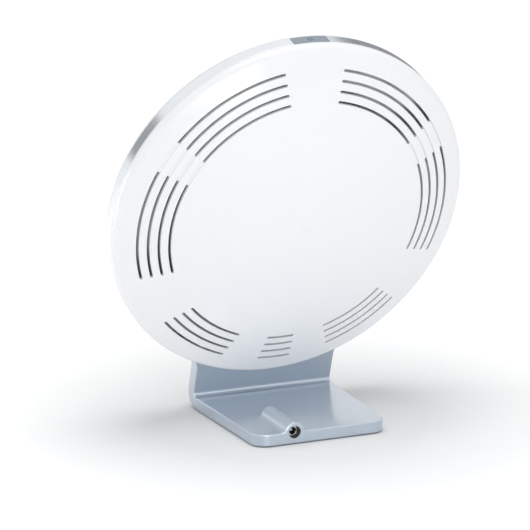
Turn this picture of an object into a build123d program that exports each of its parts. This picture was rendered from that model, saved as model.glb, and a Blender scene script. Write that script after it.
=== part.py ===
from build123d import *
import math
import os

# Round daylight lamp on a fixed foot. Millimetres.
# Row frame: +Z up, -Y the side the light shines to, +X right when seen from the front.
# The origin is on the floor, below the middle of the whole lamp's box.
# Head frame: origin in the middle of the rear rim plane, x right, y up the disc, z to the front.

# ---------------------------------------------------------------- head: outside
HEAD_RADIUS = 150.0          # silver band and rear cover
HEAD_CLEARANCE = 19.8        # lowest point of the rear rim above the foot
LEAN = 18.1                  # degrees that the head and upright lean back

COVER_WALL = 2.5
COVER_SIDE = 5.0             # straight side of the cover, behind the rim plane
COVER_SWELL = 30.0           # how far the back swells behind that
COVER_ROLL = 6.0             # rolled edge where the swell meets the rim
LIP_WALL = 1.4               # locating lip inside the band
LIP_HEIGHT = 1.6

SLOT_INSET = 18.0            # outermost slots, in from the head's radius
SLOT_PITCH = 8.0
SLOT_ROWS = 4
SLOT_WIDTH = 2.2
UPPER_SLOTS = (11.2, 53.8)   # degrees from the top
SIDE_SLOTS = (66.7, 108.8)
LOWER_SLOTS = (131.3, 159.5)
FOOT_SLOTS = (174.4, 185.6)
GROOVE_DEPTH = 0.35

SEAM = 0.2                   # parting gap between the shells
BAND_WIDTH = 10.0            # silver band, along the head's axis
BAND_WALL = 2.4
BAND_EDGE = 0.3
FLANGE_REACH = 12.6          # inwards from the band's inside
FLANGE_BACK = 3.0            # flange's rear face, in front of the rim plane
FLANGE_THICK = 2.0

DIFFUSER_THICK = 2.5
DIFFUSER_RISE = 4.2          # front face in front of the band
DIFFUSER_EDGE = 3.0          # rounded front edge
DIFFUSER_INSET = 0.3         # how much smaller than the band
SPIGOT_DEPTH = 2.7           # skirt that goes into the band
SPIGOT_WALL = 2.9
DIFFUSER_LIP = 3.0           # width of the lip that presses on the film

# ---------------------------------------------------------------- head: inside
PLATE_THICK = 1.5            # aluminium back plate
PLATE_RIM = 1.5
PLATE_INSET = 4.1            # between the band's inside and the plate
REFLECTOR_THICK = 0.4
GUIDE_THICK = 3.0
GUIDE_GAP = 0.6              # between the diodes and the light guide's edge
FILM_THICK = 0.4
FILM_INSET = 0.4
STRIP_THICK = 0.4
STRIP_HEIGHT = 3.4
STRIP_LIFT = 0.1             # above the back plate
STRIP_MARGIN = 5.0           # strip's ends, beside the switch board's posts
LED_COUNT = 72
LED_SIZE = 2.8
LED_THICK = 1.0

BUTTON_LENGTH = 30.0
BUTTON_GAP = 0.2             # clearance round the button
BUTTON_TRAVEL = 0.8
BUTTON_CATCH = 2.0           # ledge that keeps the cap from coming out
CATCH_THICK = 1.2
CATCH_INSET = 1.8            # ledge's ends, inside the band's edges
SWITCH_SIZE = 6.0
SWITCH_HEIGHT = 2.8
PLUNGER_RADIUS = 1.6
PLUNGER_SLACK = 0.1
SWITCH_BOARD_LENGTH = 30.0
SWITCH_BOARD_WIDTH = 7.8
SWITCH_BOARD_THICK = 1.0
SWITCH_BOARD_PLAY = 0.6      # between the light guide's edge and the board
POST_WIDTH = 4.0             # slotted posts that hold the switch board
POST_WALL = 0.8
POST_BITE = 0.8              # how far the board goes into each post

SCREW_RADIUS = 1.5           # M3 shank
SCREW_HEAD_RADIUS = 2.8
SCREW_HEAD_HEIGHT = 1.4
SCREW_SLACK = 0.2
FLAT_SLACK = 0.1             # round a countersunk head
RIM_SCREW_INSET = 11.4       # rim screws' circle, in from the head's radius
RIM_BOSS_RADIUS = 3.3
COVER_SCREW_ANGLES = (30, 80, 130, 230, 280, 330)
COVER_SCREW_LENGTH = 7.0
PLATE_SCREW_ANGLES = (50, 105, 155, 205, 255, 310)
PLATE_SCREW_LENGTH = 7.0
PLATE_BOSS_LENGTH = 5.0

DRIVER_LENGTH = 70.0
DRIVER_WIDTH = 46.0
DRIVER_THICK = 1.6
DRIVER_DROP = 20.0           # middle of the board, below the middle of the head
DRIVER_HOLE_INSET = 5.0
STANDOFF = 5.0
STANDOFF_RADIUS = 2.8
DRIVER_SCREW_RADIUS = 1.25
DRIVER_SCREW_LENGTH = 4.6
DRIVER_HEAD_RADIUS = 2.3
CONNECTOR = (8.0, 7.0, 6.0)
CONNECTOR_MARGIN = 1.0       # in from the board's long edges
SUPPLY_PORT_X = 19.0         # connectors, from the middle of the board
SWITCH_PORT_X = 6.0
DIODE_PORT_X = -20.0
COIL_RADIUS = 9.0
COIL_HEIGHT = 9.0
COIL_X = -14.0
COIL_FLANGE = 1.5
WINDING_DEPTH = 1.3          # winding, in from the flanges' edge
CAPACITOR_RADIUS = 5.0
CAPACITOR_HEIGHT = 12.0
CAPACITOR_X = 3.5
CAPACITOR_PITCH = 12.0
CRIMP_LIFT = 2.0             # groove round each can, in front of the board
CRIMP_WIDTH = 1.0
CRIMP_DEPTH = 0.5
CHIP_HEIGHT = 1.6
CONTROLLER = (4.0, -14.0, 10.0, 6.0)         # x and y from the board's middle, length, width
RECTIFIER = (-10.0, -17.0, 6.0, 5.0)
TRANSISTOR = (25.0, 2.0, 7.0, 9.0)

# ---------------------------------------------------------------- stand
FOOT_DEPTH = 132.5           # whole stand, front to back
FOOT_GAP = 1.2               # underside of the stand above the floor
FOOT_TOP = 10.2              # upper face of the foot above the floor
FOOT_HALF = 61.0             # half the stand's width at the upright
FOOT_TAPER = 4.6             # how much each side draws in towards the rear edge
FOOT_CORNER = 12.0           # rear corners
TAPER_START = 21.25          # where they begin to, behind the front
UPRIGHT_THICK = 11.5
FLARE = 3.5                  # how far the upright widens under the band
FLARE_HEIGHT = 10.0
FLARE_OVER = 0.6             # flare's top above the point where it meets the band
STAND_BEND = 12.0            # outer bend at the front
STAND_FILLET = 3.0           # inner bend behind the upright
STAND_WALL = 2.5
STAND_ROOF = 2.2             # wall under the foot's upper face
STAND_EDGE = 0.8             # softened visible edges
CAVITY_ROUND = 2.5
SADDLE_GAP = 0.3             # between the band and the saddle
PANEL_THICK = 2.0            # front and bottom panel
PANEL_PLAY = 0.2

BRACKET_HALF = 20.0
BRACKET_THICK = 2.0
BRACKET_BEND = 1.5           # inner bend radius
BRACKET_REACH = 50.0         # how far the bracket goes up into the head
BRACKET_FOOT = 86.25         # where its foot ends, behind the front of the stand
BRACKET_PLAY = 0.3
NECK_SCREW_RADIUS = 2.0      # M4 shank
NECK_HEAD_RADIUS = 3.8
NECK_HEAD_HEIGHT = 2.4
NECK_SCREW_X = 13.0
NECK_SCREW_DROPS = (8.0, 28.0)   # below the bracket's top

BALLAST_THICK = 2.6
BALLAST_SIDE_GAP = 17.0      # plate, in from the foot's sides
BALLAST_FRONT_GAP = 16.25
BALLAST_REAR_GAP = 6.25
BALLAST_LIFT = 0.1           # above the panel
BALLAST_PLAY = 0.5           # round the socket block
PAD_RADIUS = 7.0             # rubber feet
PAD_THICK = 2.0
PAD_SLACK = 0.2
PAD_SIDE = 21.0              # pads' middles, in from the foot's sides, front and rear
PAD_FRONT = 22.25
PAD_REAR = 16.25
PANEL_SCREW_INSET = 8.0      # in from the foot's sides
PANEL_SCREW_ROWS = (28.25, 72.25, 106.25)    # behind the front
PANEL_SCREW_LENGTH = 6.0
BALLAST_SCREW_INSET = 6.0    # in from the plate's sides
BALLAST_SCREW_ROWS = (22.0, 82.0)            # behind the plate's front
BALLAST_SCREW_LENGTH = 5.0
BRACKET_SCREW_INSET = 8.0    # in from the bracket's sides
BRACKET_SCREW_ROWS = (12.0, 54.0)            # in front of the bracket's rear end
STAND_BOSS_RADIUS = 3.1

# ---------------------------------------------------------------- low-voltage socket
JACK_X = 24.0                # socket axis
JACK_Z = 10.0
HUMP_RADIUS = 8.0
HUMP_REACH = 18.0            # hump's end, in front of the socket's inner end
HUMP_WALL = 2.2
HUMP_FILLET = 4.0            # concave blend along the hump
BLOCK_WALL = 0.5             # solid behind the socket body
JACK_RADIUS = 5.0
JACK_LENGTH = 30.0
JACK_PLAY = 0.1
JACK_SINK = 1.0              # body's end below the foot's rear face
RING_RADIUS = 4.5            # bright ring
RING_BORE = 2.8
RING_LENGTH = 7.5
RING_SINK = 4.4              # ring's face, below the foot's rear face
RING_EDGE = 0.4
JACK_CHAMBER = 16.0          # depth of the plug's hole
PIN_RADIUS = 1.05
PIN_SINK = 7.0
PIN_ROOT = 3.0               # how far the pin is let into the body
TAB_LENGTH = 4.0
TAB_WIDTH = 2.4
TAB_THICK = 0.5
TAB_SPREAD = 1.6             # each tab from the axis
TAB_ROOT = 2.0

WIRE = 1.5                   # supply wires
WIRE_BEND = 4.0
THIN_WIRE = 1.2              # switch and diode wires
THIN_BEND = 1.2
THIN_SPREAD = 0.8            # each thin wire from the pair's middle
THIN_GAP = 0.5               # between the pair and the switch board's post

DRIVE_REACH = 0.55           # cross in a screw's head, as shares of the head's radius
DRIVE_WIDTH = 0.22
DRIVE_DEPTH = 0.3

# ---------------------------------------------------------------- worked-out places
lean = math.radians(LEAN)
rear_y = FOOT_DEPTH / 2
front_y = -rear_y
bend_y = front_y + STAND_BEND
bend_z = FOOT_GAP + STAND_BEND
foot_half_rear = FOOT_HALF - FOOT_TAPER
head_height = FOOT_TOP + HEAD_CLEARANCE + HEAD_RADIUS * math.cos(lean)
head_y = bend_y + (UPRIGHT_THICK - STAND_BEND) / math.cos(lean) + (head_height - bend_z) * math.tan(lean)
head_front = (0, -math.cos(lean), math.sin(lean))
HEAD = Plane(origin=(0, head_y, head_height), x_dir=(1, 0, 0), z_dir=head_front)

cover_crown = COVER_SIDE + COVER_SWELL
cover_ball = (HEAD_RADIUS ** 2 + COVER_SWELL ** 2) / (2 * COVER_SWELL)
slot_radii = [HEAD_RADIUS - SLOT_INSET - SLOT_PITCH * row for row in range(SLOT_ROWS)]

band_front = SEAM + BAND_WIDTH
band_inside = HEAD_RADIUS - BAND_WALL
flange_inside = band_inside - FLANGE_REACH
flange_front = FLANGE_BACK + FLANGE_THICK
plate_front = flange_front + PLATE_THICK
guide_back = plate_front + REFLECTOR_THICK
guide_front = guide_back + GUIDE_THICK
film_front = guide_front + FILM_THICK
diffuser_front = band_front + DIFFUSER_RISE
rim_screw_circle = HEAD_RADIUS - RIM_SCREW_INSET
plate_radius = band_inside - PLATE_INSET
strip_outside = plate_radius - PLATE_RIM
strip_inside = strip_outside - STRIP_THICK
guide_radius = strip_inside - LED_THICK - GUIDE_GAP
film_radius = guide_radius - FILM_INSET

board_floor = guide_radius + SWITCH_BOARD_PLAY
switch_floor = board_floor + SWITCH_BOARD_THICK
switch_top = switch_floor + SWITCH_HEIGHT
switch_z = SEAM + BAND_WIDTH / 2
catch_top = band_inside - BUTTON_GAP
catch_floor = catch_top - CATCH_THICK
catch_half = BUTTON_LENGTH / 2 + BUTTON_CATCH
post_inside = SWITCH_BOARD_LENGTH / 2 - POST_BITE
post_outside = post_inside + POST_WIDTH
post_top = switch_floor + POST_WALL + POST_WALL
top_notch_half = post_outside + STRIP_MARGIN

driver_front = flange_front - STANDOFF
driver_back = driver_front - DRIVER_THICK
driver_top = -DRIVER_DROP + DRIVER_WIDTH / 2
driver_foot = -DRIVER_DROP - DRIVER_WIDTH / 2
supply_port = (SUPPLY_PORT_X, driver_foot + CONNECTOR_MARGIN + CONNECTOR[1] / 2)
switch_port = (SWITCH_PORT_X, driver_top - CONNECTOR_MARGIN - CONNECTOR[1] / 2)
diode_port = (DIODE_PORT_X, driver_top - CONNECTOR_MARGIN - CONNECTOR[1] / 2)
port_depth = driver_back - CONNECTOR[2] / 2

saddle_radius = HEAD_RADIUS + SADDLE_GAP
saddle_under = saddle_radius + STAND_WALL
upright_top = FLARE_OVER - math.sqrt(saddle_radius ** 2 - (FOOT_HALF + FLARE) ** 2)
roof_z = FOOT_TOP - STAND_ROOF
panel_top = FOOT_GAP + PANEL_THICK
ballast_floor = panel_top + BALLAST_LIFT
ballast_top = ballast_floor + BALLAST_THICK
ballast_half = FOOT_HALF - BALLAST_SIDE_GAP
ballast_front = front_y + BALLAST_FRONT_GAP
ballast_rear = rear_y - BALLAST_REAR_GAP
bracket_rear = front_y + BRACKET_FOOT
bracket_back = FLANGE_BACK + FLANGE_THICK - BRACKET_THICK
bracket_top_y = BRACKET_REACH - HEAD_RADIUS
lane_high = JACK_X + TAB_SPREAD + WIRE / 2

jack_end = rear_y - JACK_SINK
jack_start = jack_end - JACK_LENGTH
block_front = jack_start - BLOCK_WALL
hump_front = jack_start - HUMP_REACH


# ---------------------------------------------------------------- shared shapes
def disc(radius, low, high, at=(0, 0)):
    """Round piece along z between two heights."""
    return Pos(at[0], at[1], (low + high) / 2) * Cylinder(radius, high - low)


def ring(outside, inside, low, high):
    """Round wall along z between two heights."""
    return disc(outside, low, high) - disc(inside, low, high)


def block(x, y, z):
    """Box between the low and high that are given for each axis."""
    size = [high - low for low, high in (x, y, z)]
    middle = [(low + high) / 2 for low, high in (x, y, z)]
    return Pos(*middle) * Box(*size)


def rod(radius, low, high):
    """Round piece on the socket's axis, between two places along y."""
    return Pos(JACK_X, (low + high) / 2, JACK_Z) * Rot(X=90) * Cylinder(radius, high - low)


def on_circle(radius, degrees):
    """Point on the head, at an angle from the top towards +x."""
    angle = math.radians(degrees)
    return radius * math.sin(angle), radius * math.cos(angle)


def merge(pieces):
    """One solid out of pieces that overlap."""
    whole = pieces[0]
    for piece in pieces[1:]:
        whole = whole + piece
    return whole


def group(pieces):
    """Separate solids in one node."""
    return Compound(children=[Solid(piece.solid().wrapped) for piece in pieces])


def pan_screw(radius, head, rise, length):
    """Screw down from z=0 with a low round head above it."""
    whole = disc(head, 0, rise) + disc(radius, -length, 0)
    whole = whole - cross_slot(head, rise)
    return chamfer(whole.edges().group_by(Axis.Z)[-1].filter_by(GeomType.CIRCLE), rise / 4)


def flat_screw(radius, head, length, slack=0.0):
    """Screw down from z=0 with its cone sunk below z=0. With slack, the hole that it takes."""
    sink = head - radius
    cone = Pos(0, 0, -sink / 2) * Cone(radius + slack, head + slack, sink)
    whole = cone + disc(radius + slack, -length - slack, 0)
    return whole if slack else whole - cross_slot(head, 0)


def cross_slot(head, top):
    """Crossed driver slot in a screw's head."""
    reach = head * DRIVE_REACH
    width = head * DRIVE_WIDTH
    depth = head * DRIVE_DEPTH
    return merge([
        block((-reach, reach), (-width / 2, width / 2), (top - depth, top)),
        block((-width / 2, width / 2), (-reach, reach), (top - depth, top)),
    ])


def slope_y(forward, z):
    """Y of the plane this far in front of the rim plane, at a height."""
    return head_y - forward / math.cos(lean) - (head_height - z) * math.tan(lean)


def bent_plate(back, front, roof, floor, rear, inner, outer, half):
    """Leaning upright and level foot in one bend, as high as the middle of the head."""
    bend = (slope_y(front, floor), floor)
    crook = (slope_y(back, roof), roof)
    corners = [bend, (rear, floor), (rear, roof), crook]
    corners += [(slope_y(back, head_height), head_height), (slope_y(front, head_height), head_height)]
    side = make_face(Polyline(*corners, close=True))
    for corner, radius in ((bend, outer), (crook, inner)):
        if radius:
            side = fillet(side.vertices().sort_by_distance((*corner, 0))[0], radius)
    return extrude(Plane.YZ * side, half, both=True)


def stand_plan(inset):
    """Upright prism of the foot's outline, drawn in by an inset."""
    half = FOOT_HALF - inset
    half_rear = foot_half_rear - inset
    rear = rear_y - inset
    taper_y = front_y + TAPER_START
    corners = [(-half, front_y - FOOT_TOP), (half, front_y - FOOT_TOP), (half, taper_y)]
    corners += [(half_rear, rear), (-half_rear, rear), (-half, taper_y)]
    outline = make_face(Polyline(*corners, close=True))
    ends = outline.vertices().group_by(Axis.Y)[-1]
    outline = fillet(ends, FOOT_CORNER - inset)
    return extrude(outline, head_height)


def both_rows(halves, rows):
    """Points left and right of the middle, one pair for each row's half width and y."""
    return [(side * half, y) for half, y in zip(halves, rows) for side in (-1, 1)]


def foot_side(y):
    """Half the foot's width at a place along y."""
    taper_y = front_y + TAPER_START
    return FOOT_HALF - FOOT_TAPER * max(0, y - taper_y) / (rear_y - taper_y)


def wire(points, diameter, bend):
    """Round wire along straight runs joined by tangent arcs."""
    path = FilletPolyline(*points, radius=bend)
    start = Plane(origin=path @ 0, z_dir=path % 0)
    return sweep(start * Circle(diameter / 2), path=path)


# ---------------------------------------------------------------- fixings under the foot
panel_rows = [front_y + row for row in PANEL_SCREW_ROWS]
panel_screw_spots = both_rows([foot_side(y) - PANEL_SCREW_INSET for y in panel_rows], panel_rows)
ballast_rows = [ballast_front + row for row in BALLAST_SCREW_ROWS]
ballast_screw_spots = both_rows([ballast_half - BALLAST_SCREW_INSET] * len(ballast_rows), ballast_rows)
bracket_rows = [bracket_rear - row for row in BRACKET_SCREW_ROWS]
bracket_screw_spots = both_rows([BRACKET_HALF - BRACKET_SCREW_INSET] * len(bracket_rows), bracket_rows)
pad_rows = [front_y + PAD_FRONT, rear_y - PAD_REAR]
pad_spots = both_rows([FOOT_HALF - PAD_SIDE] * len(pad_rows), pad_rows)


# ---------------------------------------------------------------- rear cover
def dome(inset):
    """Solid swelling behind the rim plane, drawn in by an inset."""
    radius = HEAD_RADIUS - inset
    ball = Pos(0, 0, cover_ball - cover_crown) * Sphere(cover_ball - inset)
    cap = disc(radius, -cover_crown, 0) & ball
    circles = [edge for edge in cap.edges().filter_by(GeomType.CIRCLE) if abs(edge.radius - radius) < 0.01]
    rim = min(circles, key=lambda edge: edge.center().Z)
    return fillet(rim, COVER_ROLL - inset)


def arc_bar(radius, start, end):
    """Curved bar with round ends, through the whole depth of the cover."""
    middle = CenterArc((0, 0), radius, 90 - end, end - start)
    return extrude(SlotArc(middle, SLOT_WIDTH), -cover_crown)


def both_sides(radius, start, end):
    """The bar on the right and its mirror on the left."""
    bar = arc_bar(radius, start, end)
    return [bar, mirror(bar, Plane.YZ)]


def rear_cover():
    """White domed back with its vents, locating lip and screw bosses."""
    cover = dome(0) - dome(COVER_WALL)
    lip_outside = band_inside - SEAM
    lip = ring(lip_outside, lip_outside - LIP_WALL, -LIP_HEIGHT, LIP_HEIGHT)
    web = ring(HEAD_RADIUS - COVER_WALL / 2, lip_outside - LIP_WALL, -LIP_HEIGHT, 0)
    button_room = block(
        (-catch_half - BUTTON_GAP, catch_half + BUTTON_GAP), (guide_radius, HEAD_RADIUS), (0, LIP_HEIGHT))
    cover = cover + (web + lip - button_room)
    inside = dome(COVER_WALL / 2)
    for angle in COVER_SCREW_ANGLES:
        spot = on_circle(rim_screw_circle, angle)
        boss = disc(RIM_BOSS_RADIUS, -cover_crown, 0, spot) & inside
        boss = boss + disc(RIM_BOSS_RADIUS, -SEAM, FLANGE_BACK, spot)
        hole_floor = flange_front - COVER_SCREW_LENGTH
        cover = cover + boss - disc(SCREW_RADIUS, hole_floor, FLANGE_BACK, spot)
    vents = []
    grooves = []
    for radius in slot_radii:
        vents.append(arc_bar(radius, *FOOT_SLOTS))
        for span in (UPPER_SLOTS, SIDE_SLOTS, LOWER_SLOTS):
            vents += both_sides(radius, *span)
        grooves += both_sides(radius, UPPER_SLOTS[1], SIDE_SLOTS[0])
    core = dome(GROOVE_DEPTH)
    for groove in grooves:
        cover = cover - (groove - core)
    return cover - vents


# ---------------------------------------------------------------- silver band
def bracket_lane():
    """Way through the rim for the bracket and the supply wires."""
    low = -BRACKET_HALF - BRACKET_PLAY
    high = lane_high + BRACKET_PLAY
    foot = -saddle_under - STAND_WALL
    crown = -math.sqrt(flange_inside ** 2 - high ** 2)
    return block((low, high), (foot, crown), (bracket_back - BRACKET_PLAY, flange_front + BRACKET_PLAY))


def ring_housing():
    """Silver band with the inner flange that the head is screwed to."""
    band = ring(HEAD_RADIUS, band_inside, SEAM, band_front)
    circles = band.edges().filter_by(GeomType.CIRCLE)
    band = chamfer([edge for edge in circles if edge.radius > band_inside + 1], BAND_EDGE)
    body = band + ring(band_inside + BAND_WALL / 2, flange_inside, FLANGE_BACK, flange_front)
    notch_floor = board_floor - POST_WALL - BUTTON_GAP
    notch = block((-post_inside, post_inside), (notch_floor, band_inside), (FLANGE_BACK, flange_front))
    body = body - notch
    for side in (-1, 1):
        ends = sorted((side * post_inside, side * post_outside))
        post_crown = switch_z + SWITCH_BOARD_WIDTH / 2
        body = body + block(ends, (board_floor - POST_WALL, post_top), (FLANGE_BACK, post_crown))
    board_half = SWITCH_BOARD_LENGTH / 2 + PLUNGER_SLACK
    body = body - block((-board_half, board_half), (board_floor, switch_floor), (0, band_front))
    catch_room = catch_half + BUTTON_CATCH / 2
    body = body - block((-catch_room, catch_room), (post_top, band_inside), (FLANGE_BACK, flange_front))
    window = BUTTON_LENGTH / 2 + BUTTON_GAP
    body = body - block((-window, window), (post_top, HEAD_RADIUS + 1), (0, band_front + 1))
    for angle in PLATE_SCREW_ANGLES:
        spot = on_circle(rim_screw_circle, angle)
        body = body + disc(RIM_BOSS_RADIUS, FLANGE_BACK - PLATE_BOSS_LENGTH, flange_front, spot)
        body = body - disc(SCREW_RADIUS, plate_front - PLATE_SCREW_LENGTH, flange_front, spot)
    for angle in COVER_SCREW_ANGLES:
        spot = on_circle(rim_screw_circle, angle)
        body = body - disc(SCREW_RADIUS + SCREW_SLACK, FLANGE_BACK, flange_front, spot)
    body = body - wire_hole()
    return body - bracket_lane()


def wire_hole():
    """Hole in the flange beside the switch board for the diodes' wires."""
    x = diode_wire_x()
    room = THIN_SPREAD + THIN_WIRE
    y = diode_wire_y()
    return block((x - room, x + room), (y - THIN_WIRE, y + THIN_WIRE), (FLANGE_BACK, flange_front))


# ---------------------------------------------------------------- front and light stack
def front_diffuser():
    """Opal front with its rounded rim, the skirt inside the band and the lip on the film."""
    radius = HEAD_RADIUS - DIFFUSER_INSET
    seat = band_front + SEAM / 2
    plate_back = diffuser_front - DIFFUSER_THICK
    body = disc(radius, seat, diffuser_front)
    rim = body.edges().group_by(Axis.Z)[-1].filter_by(GeomType.CIRCLE)
    body = fillet(rim, DIFFUSER_EDGE)
    skirt_outside = band_inside - SADDLE_GAP
    skirt_inside = skirt_outside - SPIGOT_WALL
    skirt = ring(skirt_outside, skirt_inside, seat - SPIGOT_DEPTH, plate_back)
    button_room = catch_half + BUTTON_CATCH
    skirt = skirt - block((-button_room, button_room), (guide_radius, HEAD_RADIUS), (0, seat))
    body = body - disc(skirt_inside, seat, plate_back) + skirt
    return body + ring(film_radius, film_radius - DIFFUSER_LIP, film_front, plate_back)


def diffuser_film():
    """Thin film that evens out the light."""
    return disc(film_radius, guide_front, film_front)


def light_guide_plate():
    """Clear disc that the diodes shine into from its edge."""
    return disc(guide_radius, guide_back, guide_front)


def reflector_sheet():
    """White sheet behind the light guide."""
    return disc(guide_radius, plate_front, guide_back)


def top_room(low, high):
    """Space at the top of the head, for the switch."""
    floor = board_floor - POST_WALL - BUTTON_GAP
    return block((-top_notch_half, top_notch_half), (floor, HEAD_RADIUS), (low, high))


def back_plate():
    """Aluminium dish that carries the light stack and takes its heat."""
    plate = disc(plate_radius, flange_front, plate_front)
    rim_low = plate_front - PLATE_THICK / 2
    plate = plate + ring(plate_radius, strip_outside, rim_low, plate_front + STRIP_HEIGHT)
    plate = plate - top_room(0, band_front)
    for angle in COVER_SCREW_ANGLES:
        spot = on_circle(rim_screw_circle, angle)
        plate = plate - disc(SCREW_HEAD_RADIUS + SCREW_SLACK, flange_front, plate_front, spot)
    for angle in PLATE_SCREW_ANGLES:
        hole = flat_screw(SCREW_RADIUS, SCREW_HEAD_RADIUS, PLATE_THICK, FLAT_SLACK)
        plate = plate - Pos(*on_circle(rim_screw_circle, angle), plate_front) * hole
    for x, y in standoff_spots():
        plate = plate - disc(DRIVER_SCREW_RADIUS, flange_front, plate_front, (x, y))
    for x, y in neck_spots():
        plate = plate - disc(NECK_SCREW_RADIUS, flange_front, plate_front, (x, y))
    return plate


def led_strip():
    """Flexible board round the inside of the dish."""
    low = plate_front + STRIP_LIFT
    return ring(strip_outside, strip_inside, low, low + STRIP_HEIGHT - STRIP_LIFT) - top_room(0, band_front)


def led_chips():
    """Light-emitting diodes on the strip, facing inwards."""
    reach = math.sqrt(strip_inside ** 2 - (LED_SIZE / 2) ** 2)
    low = plate_front + STRIP_LIFT + (STRIP_HEIGHT - STRIP_LIFT - LED_SIZE) / 2
    first = math.degrees(math.asin(top_notch_half / strip_outside) + LED_SIZE / strip_inside)
    step = (360 - 2 * first) / (LED_COUNT - 1)
    chip = block((-LED_SIZE / 2, LED_SIZE / 2), (reach - LED_THICK, reach), (low, low + LED_SIZE))
    return [Rot(Z=-(first + step * number)) * chip for number in range(LED_COUNT)]


def cover_screws():
    """Screws through the flange into the rear cover's bosses."""
    screw = pan_screw(SCREW_RADIUS, SCREW_HEAD_RADIUS, SCREW_HEAD_HEIGHT, COVER_SCREW_LENGTH)
    return [Pos(*on_circle(rim_screw_circle, angle), flange_front) * screw for angle in COVER_SCREW_ANGLES]


def plate_screws():
    """Countersunk screws through the back plate into the flange's bosses."""
    screw = flat_screw(SCREW_RADIUS, SCREW_HEAD_RADIUS, PLATE_SCREW_LENGTH)
    return [Pos(*on_circle(rim_screw_circle, angle), plate_front) * screw for angle in PLATE_SCREW_ANGLES]


# ---------------------------------------------------------------- power button
def button_cap():
    """Button as wide as the band, with a ledge that catches inside it."""
    cap = ring(HEAD_RADIUS, catch_top - SEAM, SEAM + BUTTON_GAP / 2, band_front - BUTTON_GAP / 2)
    cap = cap & block((-BUTTON_LENGTH / 2, BUTTON_LENGTH / 2), (0, HEAD_RADIUS), (0, band_front))
    ledge = ring(catch_top, catch_floor, SEAM + CATCH_INSET, band_front - CATCH_INSET)
    return cap + (ledge & block((-catch_half, catch_half), (0, HEAD_RADIUS), (0, band_front)))


def upright_rod(radius, low, high):
    """Round piece on the button's line, between two places along the head's y."""
    return Pos(0, (low + high) / 2, switch_z) * Rot(X=90) * Cylinder(radius, high - low)


def switch_plunger():
    """Pin of the push switch, up to the curved underside of the cap."""
    touch = math.sqrt(catch_floor ** 2 - PLUNGER_RADIUS ** 2)
    return upright_rod(PLUNGER_RADIUS, switch_top - BUTTON_TRAVEL * 2 + PLUNGER_SLACK, touch)


def switch_body():
    """Push switch that the plunger goes into."""
    half = SWITCH_SIZE / 2
    body = block((-half, half), (switch_floor, switch_top), (switch_z - half, switch_z + half))
    hole_floor = switch_top - BUTTON_TRAVEL * 3
    return body - upright_rod(PLUNGER_RADIUS + PLUNGER_SLACK, hole_floor, switch_top + 1)


def switch_board():
    """Small board that carries the push switch, held in two slotted posts."""
    half = SWITCH_BOARD_LENGTH / 2
    low = switch_z - SWITCH_BOARD_WIDTH / 2
    return block((-half, half), (board_floor, switch_floor), (low, low + SWITCH_BOARD_WIDTH))


# ---------------------------------------------------------------- driver
def standoff_spots():
    """Corners of the driver board that are held."""
    x = DRIVER_LENGTH / 2 - DRIVER_HOLE_INSET
    y = DRIVER_WIDTH / 2 - DRIVER_HOLE_INSET
    return [(sx * x, sy * y - DRIVER_DROP) for sx in (-1, 1) for sy in (-1, 1)]


def driver_board():
    """Circuit board behind the back plate."""
    half = DRIVER_LENGTH / 2
    board = block((-half, half), (driver_foot, driver_top), (driver_back, driver_front))
    for spot in standoff_spots():
        board = board - disc(DRIVER_SCREW_RADIUS + FLAT_SLACK, driver_back, driver_front, spot)
    return board


def board_standoffs():
    """Six-sided posts between the board and the back plate."""
    post = extrude(RegularPolygon(STANDOFF_RADIUS, 6) - Circle(DRIVER_SCREW_RADIUS), STANDOFF)
    return [Pos(x, y, driver_front) * post for x, y in standoff_spots()]


def board_screws():
    """Screws that hold the board to its posts."""
    screw = pan_screw(DRIVER_SCREW_RADIUS, DRIVER_HEAD_RADIUS, SCREW_HEAD_HEIGHT, DRIVER_SCREW_LENGTH)
    return [Pos(x, y, driver_back) * Rot(X=180) * screw for x, y in standoff_spots()]


def driver_inductor():
    """Drum coil: two flanges and the winding between them."""
    low = driver_back - COIL_HEIGHT
    spot = (COIL_X, -DRIVER_DROP)
    drum = disc(COIL_RADIUS, low, low + COIL_FLANGE, spot)
    drum = drum + disc(COIL_RADIUS, driver_back - COIL_FLANGE, driver_back, spot)
    return drum + disc(COIL_RADIUS - WINDING_DEPTH, low, driver_back, spot)


def driver_capacitors():
    """Can capacitors with a crimped neck."""
    cans = []
    crimp_low = driver_back - CRIMP_LIFT
    crimp_high = crimp_low + CRIMP_WIDTH
    for x in (CAPACITOR_X, CAPACITOR_X + CAPACITOR_PITCH):
        spot = (x, -DRIVER_DROP + CAPACITOR_RADIUS)
        can = disc(CAPACITOR_RADIUS, driver_back - CAPACITOR_HEIGHT, driver_back, spot)
        around = disc(CAPACITOR_RADIUS + CRIMP_DEPTH, crimp_low, crimp_high, spot)
        cans.append(can - (around - disc(CAPACITOR_RADIUS - CRIMP_DEPTH, crimp_low, crimp_high, spot)))
    return cans


def driver_chips():
    """Controller, rectifier and power transistor."""
    chips = []
    for x, y, length, width in (CONTROLLER, RECTIFIER, TRANSISTOR):
        ends = (x - length / 2, x + length / 2)
        sides = (y - DRIVER_DROP - width / 2, y - DRIVER_DROP + width / 2)
        chips.append(block(ends, sides, (driver_back - CHIP_HEIGHT, driver_back)))
    return chips


def driver_connectors():
    """Headers for the supply, the switch and the diodes."""
    headers = []
    for x, y in (supply_port, switch_port, diode_port):
        ends = (x - CONNECTOR[0] / 2, x + CONNECTOR[0] / 2)
        sides = (y - CONNECTOR[1] / 2, y + CONNECTOR[1] / 2)
        headers.append(block(ends, sides, (driver_back - CONNECTOR[2], driver_back)))
    return headers


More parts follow.
